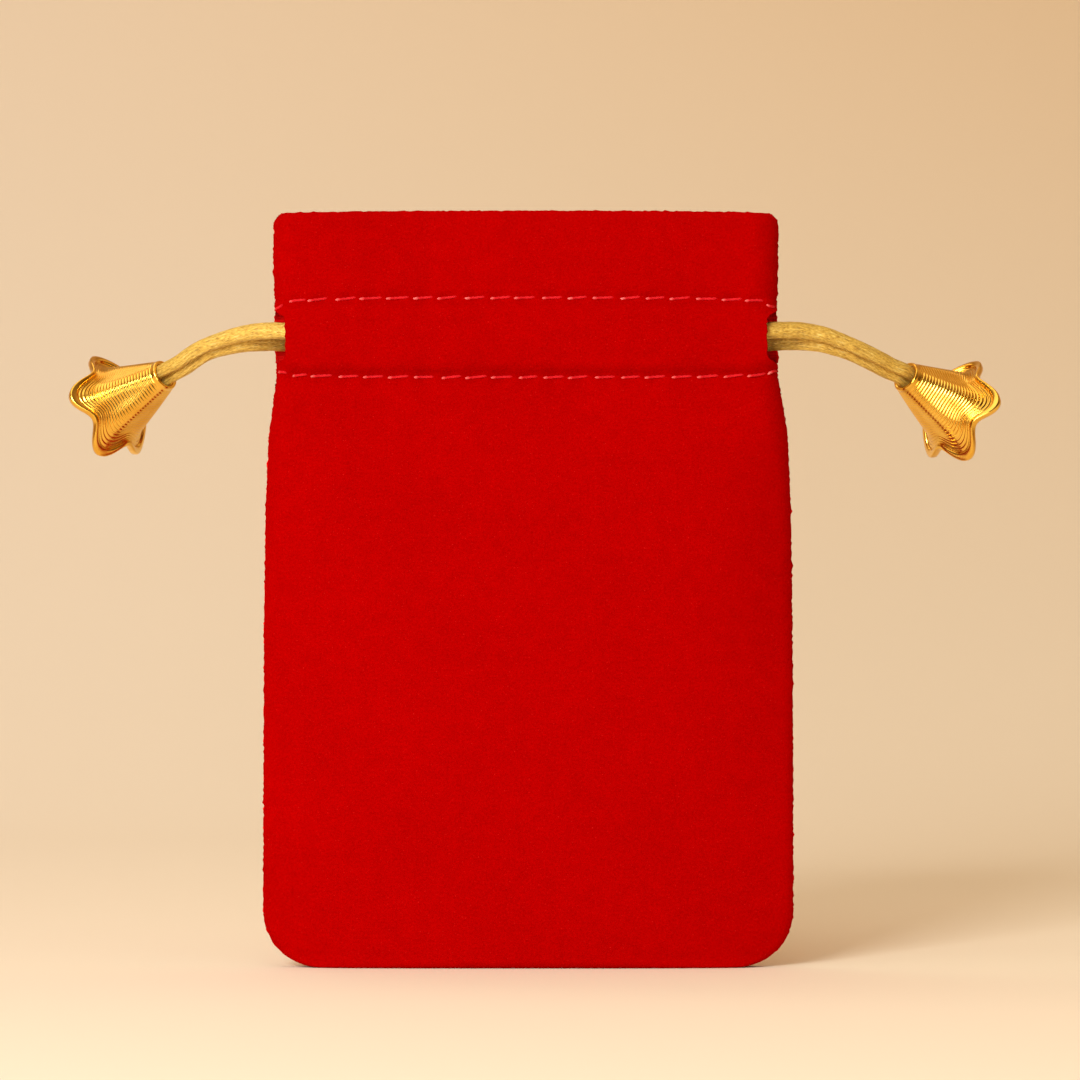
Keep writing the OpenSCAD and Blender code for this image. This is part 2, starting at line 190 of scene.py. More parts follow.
def blended(tree, factor, a, b):
    """Colour a mixed with colour b; each of the three may be a socket."""
    node = tree.nodes.new("ShaderNodeMix")
    node.data_type = "RGBA"
    for socket, value in ((node.inputs[0], factor), (node.inputs[6], a), (node.inputs[7], b)):
        if isinstance(value, bpy.types.NodeSocket):
            tree.links.new(value, socket)
        else:
            socket.default_value = value if isinstance(value, float) else (*value, 1)
    return node.outputs[2]


def bump(tree, height, strength, distance_mm, after=None):
    node = tree.nodes.new("ShaderNodeBump")
    node.inputs["Strength"].default_value = strength
    node.inputs["Distance"].default_value = distance_mm * MM
    tree.links.new(height, node.inputs["Height"])
    if after is not None:
        tree.links.new(after, node.inputs["Normal"])
    return node.outputs[0]


def velvet_pile():
    """Deep red pile: wide drift, clouds where it lies another way, and a fine grain."""
    m, tree, shader = material(
        "velvet_pile", Roughness=0.9, Sheen_Weight=0.25, Sheen_Roughness=0.45,
        Sheen_Tint=(1.0, 0.012, 0.008, 1), Specular_IOR_Level=0.0)
    uv = add(tree, "ShaderNodeTexCoord").outputs["UV"]
    drift = add(tree, "ShaderNodeTexNoise", [(uv, "Vector")], Scale=5.0, Detail=3.0).outputs[0]
    cloud = add(tree, "ShaderNodeTexNoise", [(uv, "Vector")], Scale=38.0, Detail=4.0).outputs[0]
    grain = add(tree, "ShaderNodeTexNoise", [(uv, "Vector")], Scale=210.0, Detail=3.0).outputs[0]
    fleck = add(tree, "ShaderNodeTexNoise", [(uv, "Vector")], Scale=330.0, Detail=1.0).outputs[0]
    base = ramp(tree, drift, [(0.3, (0.33, 0.0, 0.0)), (0.7, (0.38, 0.0, 0.0))])
    base = blended(tree, 0.3, base, ramp(tree, cloud, [(0.35, (0.29, 0, 0)), (0.65, (0.42, 0, 0))]))
    speckle = ramp(tree, grain, [(0.3, (0.24, 0, 0)), (0.72, (0.5, 0.001, 0.001))])
    base = blended(tree, 0.3, base, speckle)
    spots = ramp(tree, fleck, [(0.68, (0, 0, 0)), (0.8, (0.5, 0.5, 0.5))])
    base = blended(tree, spots, base, (0.7, 0.02, 0.015))
    tree.links.new(base, shader.inputs["Base Color"])
    low = bump(tree, cloud, 0.12, 0.6)
    tree.links.new(bump(tree, grain, 0.35, 0.14, low), shader.inputs["Normal"])
    return m


def velvet_backing():
    """The knitted reverse of the cloth, plainer than its pile, with painted light: its colour is set
    brighter than the pile's to make up for the shade it lies in inside the slots.
    """
    m, tree, shader = material(
        "velvet_backing", Roughness=0.9, Sheen_Weight=0.1, Sheen_Tint=(1, 0.05, 0.04, 1),
        Specular_IOR_Level=0.1)
    uv = add(tree, "ShaderNodeTexCoord").outputs["UV"]
    rows = add(tree, "ShaderNodeTexWave", [(uv, "Vector")], Scale=60.0, Distortion=1.2,
               Detail=2.0, bands_direction="Y").outputs[0]
    # Painted light: a brighter red than the pile, standing in for the light that the slots and cords shade
    # off.
    base = ramp(tree, rows, [(0.2, (0.66, 0.001, 0.001)), (0.8, (0.78, 0.003, 0.002))])
    tree.links.new(base, shader.inputs["Base Color"])
    tree.links.new(bump(tree, rows, 0.15, 0.08), shader.inputs["Normal"])
    return m


def sewing_thread():
    """Red two-ply thread, with a painted highlight at the end of a stitch that faces the key light."""
    m, tree, shader = material(
        "sewing_thread", Roughness=0.6, Sheen_Weight=0.05, Sheen_Tint=(1, 0.3, 0.3, 1),
        Specular_IOR_Level=0.12)
    place = add(tree, "ShaderNodeTexCoord").outputs["UV"]
    ply = add(tree, "ShaderNodeTexWave", [(place, "Vector")], Scale=55.0, Distortion=0.4,
              bands_direction="DIAGONAL").outputs[0]
    base = ramp(tree, ply, [(0.15, (0.55, 0.003, 0.006)), (0.85, (0.85, 0.012, 0.02))])
    along = add(tree, "ShaderNodeSeparateXYZ", [(place, "Vector")]).outputs["X"]
    # Painted highlight: the end of each stitch nearest the key light is mixed towards a pale pink.
    end = add(tree, "ShaderNodeMapRange", [(along, "Value")], From_Min=0.013, From_Max=0.004).outputs[0]
    base = blended(tree, end, base, (0.95, 0.22, 0.2))
    tree.links.new(base, shader.inputs["Base Color"])
    tree.links.new(bump(tree, ply, 0.5, 0.08), shader.inputs["Normal"])
    return m


def gold_braid():
    """Satin cord: fine strands that run along it, crossed by the braid."""
    m, tree, shader = material(
        "gold_braid", Roughness=0.4, Sheen_Weight=0.12, Sheen_Roughness=0.3,
        Sheen_Tint=(1.0, 0.8, 0.35, 1), Specular_IOR_Level=0.5, Metallic=0.35)
    uv = add(tree, "ShaderNodeTexCoord").outputs["UV"]
    wide = add(tree, "ShaderNodeMapping", [(uv, "Vector")], Scale=(3.5, 15.0, 1.0)).outputs[0]
    strands = add(tree, "ShaderNodeTexNoise", [(wide, "Vector")], Scale=1.0, Detail=3.0,
                  Roughness=0.6).outputs[0]
    fine = add(tree, "ShaderNodeMapping", [(uv, "Vector")], Scale=(14.0, 30.0, 1.0)).outputs[0]
    fibres = add(tree, "ShaderNodeTexNoise", [(fine, "Vector")], Scale=1.0, Detail=2.0).outputs[0]
    lean = add(tree, "ShaderNodeMapping", [(uv, "Vector")], Rotation=(0, 0, 0.5)).outputs[0]
    plait = add(tree, "ShaderNodeTexWave", [(lean, "Vector")], Scale=26.0, Distortion=2.5,
                Detail=2.0).outputs[0]
    base = ramp(tree, strands, [(0.34, (0.28, 0.1, 0.003)), (0.42, (0.66, 0.34, 0.018)),
                                (0.56, (0.88, 0.53, 0.045)), (0.68, (1.0, 0.82, 0.29))])
    threads = ramp(tree, fibres, [(0.4, (0.36, 0.14, 0.006)), (0.58, (1.0, 0.76, 0.18))])
    bands = ramp(tree, plait, [(0.2, (0.34, 0.15, 0.01)), (0.8, (0.9, 0.66, 0.22))])
    base = blended(tree, 0.12, blended(tree, 0.45, base, threads), bands)
    tree.links.new(base, shader.inputs["Base Color"])
    deep = bump(tree, strands, 0.9, 0.35)
    middle = bump(tree, plait, 0.3, 0.1, deep)
    tree.links.new(bump(tree, fibres, 0.7, 0.15, middle), shader.inputs["Normal"])
    return m


def gold_plating():
    """Bright plated metal, slightly uneven in tone and polish."""
    m, tree, shader = material(
        "gold_plating", Metallic=1.0, Roughness=0.2, Coat_Weight=0.2, Coat_Roughness=0.08)
    place = add(tree, "ShaderNodeTexCoord").outputs["Object"]
    tone = add(tree, "ShaderNodeTexNoise", [(place, "Vector")], Scale=160.0, Detail=4.0).outputs[0]
    rub = add(tree, "ShaderNodeTexNoise", [(place, "Vector")], Scale=900.0, Detail=3.0).outputs[0]
    base = ramp(tree, tone, [(0.3, (0.82, 0.42, 0.035)), (0.7, (0.96, 0.6, 0.1))])
    tree.links.new(base, shader.inputs["Base Color"])
    rough = add(tree, "ShaderNodeMapRange", [(rub, "Value")], To_Min=0.1, To_Max=0.26).outputs[0]
    tree.links.new(rough, shader.inputs["Roughness"])
    tree.links.new(bump(tree, rub, 0.15, 0.05), shader.inputs["Normal"])
    return m


PILE, BACKING, THREAD, BRAID, PLATING = (
    velvet_pile(), velvet_backing(), sewing_thread(), gold_braid(), gold_plating())


# ---------------------------------------------------------------- cords: their routes first
CORD_W, CORD_T, RUN_DEPTH = 3.1, 1.7, 3.85
TAILS = {
    "left": np.array([
        [-45, 0, 118], [-47.8, 0, 118.1], [-50.4, 0.05, 118], [-52.8, 0.15, 117.8],
        [-55.1, 0.35, 117.4], [-57.4, 0.6, 116.8], [-59.6, 1, 116.1], [-61.6, 1.5, 115.2],
        [-63.5, 2.2, 114], [-65.1, 3, 112.9]]),
    "right": np.array([
        [45, 0, 118.1], [47.6, 0, 118.2], [50.4, 0.05, 118.2], [52.9, 0.2, 118],
        [55.4, 0.4, 117.6], [57.6, 0.7, 116.9], [59.8, 1.1, 116.1], [62, 1.6, 115.2],
        [64.1, 2.3, 114.2], [66.2, 3.2, 113.2], [67.8, 4, 112.4]]),
}
THROAT = {"left": np.array([-68.4, 5, 111.2]), "right": np.array([71.1, 5.6, 110.9])}
AXIS = {"left": unit([-0.733, 0.545, -0.406]), "right": unit([0.715, 0.545, -0.438])}
CORD_IN, KNOT_FROM, KNOT_LEN = 2.65, 2.75, 5.2
RUNS = {
    "left": [[-42, 119.5, 117.2], [-39, 119.7, 118.2], [-36, 119.9, 119.2],
             [-32, 120, 119.9], [-24, 120, 120], [-16, 120, 120], [-8, 120, 120],
             [0, 120, 120], [8, 120, 120], [16, 120.1, 120.1], [24, 120.6, 120.6],
             [30, 121.7, 121.7], [34, 122.4, 122.4]],
    "right": [[42, 118.6, 116.4], [39, 117.3, 116], [36, 116.3, 115.8],
              [32, 115.8, 115.7], [24, 115.7, 115.7], [16, 115.7, 115.7], [8, 115.7, 115.7],
              [0, 115.7, 115.7], [-8, 115.7, 115.7], [-16, 115.6, 115.6], [-24, 115.1, 115.1],
              [-30, 114, 114], [-34, 113.4, 113.4]],
}
TURN_X, TURN_Z = 36.6, {"left": 122.6, "right": 113.2}
SIGN = {"left": -1, "right": 1}


def crosswise(t):
    """The direction nearest to straight up that is square to the line's direction."""
    return unit(np.array([0, 0, 1.0]) - t[..., 2:3] * t)


def strand(side, which):
    """Stations of one tail strand from the slot into the bell: points and half sizes."""
    line = np.vstack([TAILS[side]] + [THROAT[side] + AXIS[side] * a for a in (-1.4, 0, 1.5, CORD_IN)])
    t = unit(np.gradient(line, axis=0))
    s = np.linspace(0, 1, len(line))[:, None]
    n = crosswise(t)
    b = np.cross(t, n)
    rise = table(s, [(0, 1.03), (0.15, 1.03), (0.45, 0.62), (1, 0.65)])
    depth = table(s, [(0, 3.5), (0.077, 2.6), (0.154, 1.75), (0.23, 1.25), (0.31, 1.0), (0.4, 0.92)])
    out = n * rise - b * np.sign(b[:, 1:2]) * depth
    sizes = np.hstack([mix(CORD_W / 2, 1.2, ease(0, 1, s)), np.full_like(s, CORD_T / 2)])
    return line + which * out, sizes


def run_points(side):
    """Stations of the run inside the casing, from one end of the slot to the other."""
    run = np.array(RUNS[side], float)
    front = np.column_stack([run[:, 0], np.full(len(run), -RUN_DEPTH), run[:, 1]])
    back = np.column_stack([run[:, 0], np.full(len(run), RUN_DEPTH), run[:, 2]])
    a = np.radians(np.arange(-90, 91, 30))
    turn = np.column_stack([-SIGN[side] * (TURN_X + RUN_DEPTH * np.cos(a)), RUN_DEPTH * np.sin(a),
                            np.full(len(a), TURN_Z[side])])
    return np.vstack([front, turn, back[::-1]])


def smooth_line(stations, values, step):
    """A Catmull-Rom curve through the stations, with values carried along it."""
    p = np.vstack([2 * stations[0] - stations[1], stations, 2 * stations[-1] - stations[-2]])
    points, carried = [], []
    for i in range(len(stations) - 1):
        n = max(1, int(round(np.linalg.norm(stations[i + 1] - stations[i]) / step)))
        for t in np.arange(n) / n:
            a, b, c, d = p[i], p[i + 1], p[i + 2], p[i + 3]
            points.append(0.5 * (2 * b + (c - a) * t + (2 * a - 5 * b + 4 * c - d) * t**2
                                 + (3 * b - 3 * c + d - a) * t**3))
            carried.append(mix(values[i], values[i + 1], t))
    return np.array(points + [stations[-1]]), np.array(carried + [values[-1]])


def braid_tube(name, stations, sizes, seed, around=28, step=0.35):
    """A flattened braid with shallow lengthwise folds, and the line that it follows."""
    line, size = smooth_line(stations, sizes, step)
    t = unit(np.gradient(line, axis=0))
    n = crosswise(t)
    b = np.cross(t, n)
    length = np.concatenate([[0], np.cumsum(np.linalg.norm(np.diff(line, axis=0), axis=1))])
    phi = np.arange(around) / around * 2 * np.pi
    c, s = np.cos(phi), np.sin(phi)
    fold = np.stack(np.broadcast_arrays(length[:, None] * 0.11, phi[None, :] * 2.0), -1)
    deep = 1 + 0.06 * wavy(fold, 1.0, seed) + 0.025 * np.cos(6 * phi + 0.12 * length[:, None])
    plait = 0.012 * np.cos(length[:, None] * 2 * np.pi / 2.1 + 4 * phi) * np.cos(4 * phi)
    wide = np.sign(c) * np.abs(c) ** 0.85
    ring = (line[:, None, :] + n[:, None, :] * (size[:, :1] * (deep + plait) * wide)[..., None]
            + b[:, None, :] * (size[:, 1:] * (deep + plait) * s)[..., None])
    points = ring.reshape(-1, 3)
    rows = len(line)
    faces = grid_faces(rows, around, closed_cols=True)
    ends = np.vstack([line[:1], line[-1:]])
    first = len(points)
    j = np.arange(around)
    caps = np.vstack([
        np.column_stack([np.full(around, first), (j + 1) % around, j, j]),
        np.column_stack([np.full(around, first + 1), (rows - 1) * around + j,
                         (rows - 1) * around + (j + 1) % around, (rows - 1) * around + (j + 1) % around])])
    across = np.abs(phi[None, :] - np.pi) / np.pi
    uv = np.stack(np.broadcast_arrays(length[:, None] / 10, across), -1).reshape(-1, 2)
    uv = np.vstack([uv, uv[:1], uv[-1:]])
    mesh_faces = np.vstack([faces, caps])[:, ::-1]
    obj = tri_quads(name, np.vstack([points, ends]), mesh_faces, [BRAID], uv)
    return obj, line


def tri_quads(name, points, faces, materials, uv=None):
    """A piece from quads, where a repeated last corner makes a triangle."""
    mesh = bpy.data.meshes.new(name)
    clean = [tuple(dict.fromkeys(f)) for f in np.asarray(faces).tolist()]
    mesh.from_pydata((np.asarray(points) * MM).tolist(), [], clean)
    for m in materials:
        mesh.materials.append(m)
    mesh.polygons.foreach_set("use_smooth", np.ones(len(clean), bool))
    if uv is not None:
        corner = np.zeros(len(mesh.loops), np.int32)
        mesh.loops.foreach_get("vertex_index", corner)
        mesh.uv_layers.new(name="cloth").data.foreach_set("uv", np.asarray(uv, np.float32)[corner].ravel())
    mesh.update()
    obj = bpy.data.objects.new(name, mesh)
    bpy.context.scene.collection.objects.link(obj)
    return obj


# ---------------------------------------------------------------- bells and knots
PETALS, PETAL_TURN, MOUTH_LEAN = 5, 31, 8
PETAL_R, VALLEY_R, THROAT_R, CONE_R = 10.6, 8.2, 2.75, 7.2
BELL_LEN, BELL_WALL, TIP_REACH, FLARE_FROM, RIB = 14.8, 0.55, 1.3, 0.8, 0.64
BELL_SIDES, RIB_DEPTH, RIBS_FROM, RIBS_TO = 300, 0.08, 0.75, 0.955
KNOT_TURNS, KNOT_R, WOUND_R = 3, 2.05, 0.84


def facing(axis):
    """The direction nearest to the viewer that is square to the bell's axis."""
    return unit(np.array([0, -1, 0]) + axis[1] * axis)


def above(axis):
    """The other direction square to the axis, on its upper side."""
    v = np.cross(axis, facing(axis))
    return v if v[2] > 0 else -v


def bell_point(share, petal):
    """Distance along the axis and radius; petal is 1 at a petal's middle, -1 between two."""
    cone = mix(THROAT_R, CONE_R, share)
    flared = np.maximum(0, (share - FLARE_FROM) / (1 - FLARE_FROM)) ** 2.5
    flare = ((PETAL_R + VALLEY_R) / 2 - CONE_R) * flared
    swell = (PETAL_R - VALLEY_R) / 2 * mix(0.5 * share, 1, share**10)
    return np.stack([BELL_LEN * share + TIP_REACH * petal * share**6, cone + flare + swell * petal], -1)


def bell(side):
    """A ribbed five-petalled trumpet with a lip at its throat and a smooth rolled rim."""
    axis, throat = AXIS[side], THROAT[side]
    theta = np.arange(BELL_SIDES) / BELL_SIDES * 2 * np.pi
    petal = np.cos(PETALS * (theta - math.radians(PETAL_TURN)))
    lip = [(0.0, -0.5), (0.0, -0.3), (0.0, 0), (0.008, 0.1), (0.02, 0.14), (0.034, 0.12), (0.044, 0.02)]
    shares = np.linspace(0, 1, 2001)
    outline = bell_point(shares, 0.3)
    reach = np.concatenate([[0], np.cumsum(np.linalg.norm(np.diff(outline, axis=0), axis=1))])
    ribs = []
    for arc in np.arange(RIBS_FROM, np.interp(RIBS_TO, shares, reach), RIB / 7):
        share = float(np.interp(arc, reach, shares))
        depth = RIB_DEPTH * ease(0.05, 0.09, share) * (1 - 0.4 * ease(0.86, 0.95, share))
        ribs.append((share, depth * math.cos(2 * math.pi * arc / RIB)))
    rim = [(0.957, 0.15), (0.959, 0.33), (0.966, 0.44), (0.978, 0.47), (0.99, 0.46), (0.997, 0.38),
           (1.0, 0.15), (1.0, -0.3), (1.0, -0.65), (0.997, -0.9), (0.99, -1.05), (0.978, -1.03),
           (0.96, -0.85)]
    inner = [(share, -BELL_WALL) for share in np.arange(0.93, 0.05, -0.03)] + [(0.03, -0.5)]
    rings = []
    for share, offset in lip + ribs + rim + inner:
        at = bell_point(np.full_like(theta, share), petal)
        t = unit(bell_point(np.full_like(theta, min(1, share + 0.01)), petal)
                 - bell_point(np.full_like(theta, max(0, share - 0.01)), petal))
        a, r = at[:, 0] - offset * t[:, 1], at[:, 1] + offset * t[:, 0]
        lean = math.radians(MOUTH_LEAN) * share**2
        up = above(axis) * math.cos(lean) - axis * math.sin(lean)
        rings.append(throat + axis * a[:, None] + facing(axis) * (r * np.cos(theta))[:, None]
                     + up * (r * np.sin(theta))[:, None])
    count = len(rings)
    i = np.arange(count)[:, None]
    j = np.arange(BELL_SIDES)[None, :]
    following_i, following_j = (i + 1) % count * BELL_SIDES, (j + 1) % BELL_SIDES
    a, b = i * BELL_SIDES + j, i * BELL_SIDES + following_j
    c, d = following_i + following_j, following_i + j
    faces = np.stack([a, b, c, d], -1).reshape(-1, 4)
    if side == "left":
        faces = faces[:, ::-1]
    obj = new_piece(f"{side}_bell_shell", np.array(rings).reshape(-1, 3), faces, [PLATING])
    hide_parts(f"{side}_bell")
    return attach(obj, f"{side}_bell_end")


def knot(side):
    """The two cord ends wound tight round themselves, with their cut ends standing out."""
    axis, at = AXIS[side], THROAT[side] + AXIS[side] * KNOT_FROM
    e1, e2 = facing(axis), np.cross(axis, facing(axis))
    turns = np.linspace(0, KNOT_TURNS * 2 * math.pi, 97)
    along = mix(0.9, KNOT_LEN - 0.95, ease(0, 1, turns / turns[-1]))
    wound = (at + axis * along[:, None] + e1 * (KNOT_R * np.cos(turns))[:, None]
             + e2 * (KNOT_R * np.sin(turns))[:, None])[::3]
    coil, _ = braid_tube(f"{side}_knot_turns", wound, np.full((len(wound), 2), WOUND_R), 31, 16)
    pieces = [coil]
    for k, (x, y) in enumerate(((0.9, 0.3), (-0.9, -0.4))):
        line = np.array([at + axis * a + e1 * x * (1 + 0.15 * a) + e2 * y * (1 + 0.1 * a)
                         for a in (0.3, 1.5, 3, 4.5, 5.6, 6.6)])
        end, _ = braid_tube(f"{side}_knot_end_{k}", line, np.full((6, 2), 0.85), 41 + k, 16)
        pieces.append(end)
    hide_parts(f"{side}_end_knot")
    for p in pieces:
        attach(p, f"{side}_bell_end")
    return pieces


def cords(side, knots):
    """The run inside the casing, and the two tail strands that end in the bell."""
    run = run_points(side)
    plain = np.tile([CORD_W / 2, CORD_T / 2], (len(run), 1))
    hidden, _ = braid_tube(f"{side}_cord_in_casing", run[1:-1], plain[1:-1], 5, step=0.8)
    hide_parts(f"{side}_drawcord")
    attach(hidden, f"{side}_drawstring")
    for which, word, inside in ((1, "upper", run[[1, 0]]), (-1, "lower", run[[-2, -1]])):
        points, sizes = strand(side, which)
        stations = np.vstack([inside, points])
        sizes = np.vstack([plain[:2], sizes])
        tail, line = braid_tube(f"{side}_cord_{word}_tail", stations, sizes, 11 + which)
        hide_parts(f"{side}_drawcord")
        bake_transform(tail)
        length = np.linalg.norm(np.diff(line, axis=0), axis=1).sum() * MM


for side in ("left", "right"):
    shell = bell(side)
    cords(side, knot(side))


# ---------------------------------------------------------------- the cloth's shape
POUCH_H, BODY_W, CASING_W, HEADER_W, BODY_D, FABRIC = 141.5, 99.4, 93.8, 94.6, 7.0, 0.75
FOOT_R, TOP_R, LOWER, UPPER, HEM_TAIL, LIE, CHANNEL = 10.5, 2.3, 110.4, 125.2, 4.9, 0.05, 1.0
SLOT_LO, SLOT_HI, SLOT_CUT, HEM_CUT = 113.5, 122.0, 2.0, 36.5
STITCH, STITCH_LEN, THREAD_D = 4.8, 3.8, 0.5
SEAM, ALLOWANCE, CREST_Z, CREST_HALF, CREST = 0.8, 6.6, 117.8, 7.4, 0.55
FOLD_Z = POUCH_H - FABRIC - LIE


def half_w(z):
    """Half the pouch's width at a height, with its rounded lower and upper corners."""
    z = np.asarray(z, float)
    below, beyond = FOOT_R - np.minimum(z, FOOT_R), np.maximum(0, z - POUCH_H + TOP_R)
    foot = BODY_W / 2 - FOOT_R + np.sqrt(np.maximum(0, FOOT_R**2 - below**2))
    top = HEADER_W / 2 - TOP_R + np.sqrt(np.maximum(0, TOP_R**2 - beyond**2))
    half = BODY_W / 2
    middle = table(z, [(FOOT_R, half), (60, half - 0.15), (85, half - 0.45), (100, half - 1.1),
                       (LOWER, CASING_W / 2 + 0.1), (118, CASING_W / 2), (UPPER, CASING_W / 2 + 0.2),
                       (132, HEADER_W / 2)])
    return np.where(z < FOOT_R, foot, np.where(z > POUCH_H - TOP_R, top, middle))


def opened(z):
    """How far the casing is open for the cords: 0 at the stitch rows, 1 between them."""
    return table(z, [(LOWER, 0), (LOWER + 0.8, 0.25), (LOWER + 1.6, 0.75), (LOWER + 2.4, 1),
                     (UPPER - 2.4, 1), (UPPER - 1.6, 0.75), (UPPER - 0.8, 0.25), (UPPER, 0)])


def edge_face(z):
    """Depth of the outer face at the side edge, where the slots stand open."""
    return table(z, [(98, 0.35), (106, 0.8), (112, 0.8), (113.4, 3.3), (114.6, 5.5), (121.4, 5.5),
                     (122.6, 3.3), (124, 0.8)])


def face_y(x, z):
    """Outer face of the cloth, before its small waves."""
    w = half_w(z)
    d = np.maximum(0, w - np.abs(x))
    full = table(z, [(0, 4.6), (3, 4.8), (10, 5.3), (30, BODY_D - 0.6), (60, BODY_D), (88, BODY_D - 0.2),
                     (LOWER, BODY_D - 0.8)])
    power = 3 + 5 * ease(55, LOWER, z)
    body = mix(1.55, full, 1 - np.minimum(1, np.abs(x) / w) ** power)
    open_face = mix(body, RUN_DEPTH + LIE + FABRIC, ease(88, LOWER, z)) + CHANNEL * opened(z)
    open_face = open_face + CREST * np.maximum(0, 1 - ((z - CREST_Z) / CREST_HALF) ** 2)
    r = mix(1.85, 5, ease(90, 106, z))
    turn = np.sqrt(np.maximum(0, 1 - (1 - np.minimum(1, d / r)) ** 2))
    return mix(edge_face(z), open_face, turn)


def reverse_y(x, z):
    """Inner face of the outer layer; the seam allowance doubles it along the edges."""
    d = half_w(z) - np.abs(x)
    layers = 1 + ease(ALLOWANCE, ALLOWANCE - 0.8, d) * ease(104, 101, z)
    return np.maximum(LIE, face_y(x, z) - FABRIC * layers)


def hem_back(x, z):
    """Reverse of the hem, which keeps clear of the cords in the casing."""
    y = reverse_y(x, z) - 2 * LIE
    return np.where(z < LOWER, y, np.minimum(y, RUN_DEPTH - LIE - CHANNEL * opened(z)))


def stitch_line(x, upper):
    """Height of a stitch row, which bows towards the slots and turns at its ends."""
    bow = np.abs(x) / 46
    turn = ease(43.4, 46.6, np.abs(x))
    return UPPER - 0.7 * bow**4 - 1.2 * turn if upper else LOWER + 0.5 * bow**4 + 0.6 * turn


def small_waves(x, z, front):
    """Gathers, puckers at the stitches and slack, as extra depth of the outer face."""
    seed = 3 if front else 9
    here = np.stack(np.broadcast_arrays(x, z), -1)
    inner = ease(0, 3, half_w(z) - np.abs(x))
    slack = 0.28 * wavy(here * [1, 0.6], 26, seed) + 0.09 * wavy(here, 9, seed + 1)
    slack = slack * ease(3, 14, z) * inner
    pleats = 0.13 * wavy(here * [1, 0.12], 4.6, seed + 2, 1) * ease(96, 110, z) * ease(140, 130, z) * inner
    pucker = 0
    for upper in (False, True):
        off = z - stitch_line(x, upper)
        groove = -0.38 * np.exp(-(off / 0.9) ** 2)
        bead = 0.2 * np.cos(2 * np.pi * x / STITCH) * np.exp(-(off / 1.3) ** 2)
        pucker = pucker + (groove - bead) * inner
    return slack + pleats + pucker


def set_over(points):
    """The casing and the header sit a little further left than the body."""
    points[..., 0] -= 0.45 * ease(100, 122, points[..., 2])
    return points


def dropped(x, z):
    """The header's top edge droops a little towards its corners."""
    return z - 0.35 * (np.abs(x) * 2 / HEADER_W) ** 2 * ease(126, POUCH_H - 2, z)


EDGE_STEPS = np.array([0, 0.15, 0.4, 0.75, 1.2, 1.85, 2.4, 3.0, 3.6, 4.2, 4.8, 5.4, 6.0, ALLOWANCE])
SHARES = np.linspace(1, 0, 72)[1:-1]


def columns(w):
    """x of the cloth's points across one row, closer together near the edges."""
    inner = SHARES * (w - ALLOWANCE)
    left = np.concatenate([EDGE_STEPS - w, -inner])
    return np.concatenate([left, [0], -left[::-1]])


def outer_w(z, front):
    """Half width of the outer layer; the front one is cut back at the slots."""
    cut = ease(SLOT_LO - 1.0, SLOT_LO + 0.7, z) * ease(SLOT_HI + 1.1, SLOT_HI - 0.7, z)
    return half_w(z) + cut * (-SLOT_CUT if front else 0.5)


def hem_w(z):
    """Half width of the hem, cut back where the cords turn."""
    notch = ease(LOWER + 0.7, LOWER + 1.1, z) * ease(UPPER - 0.5, UPPER - 0.9, z)
    plain = mix(half_w(z) - 7.5, half_w(z) - 0.5, ease(107.5, 109.2, z))
    return mix(plain, HEM_CUT, notch)


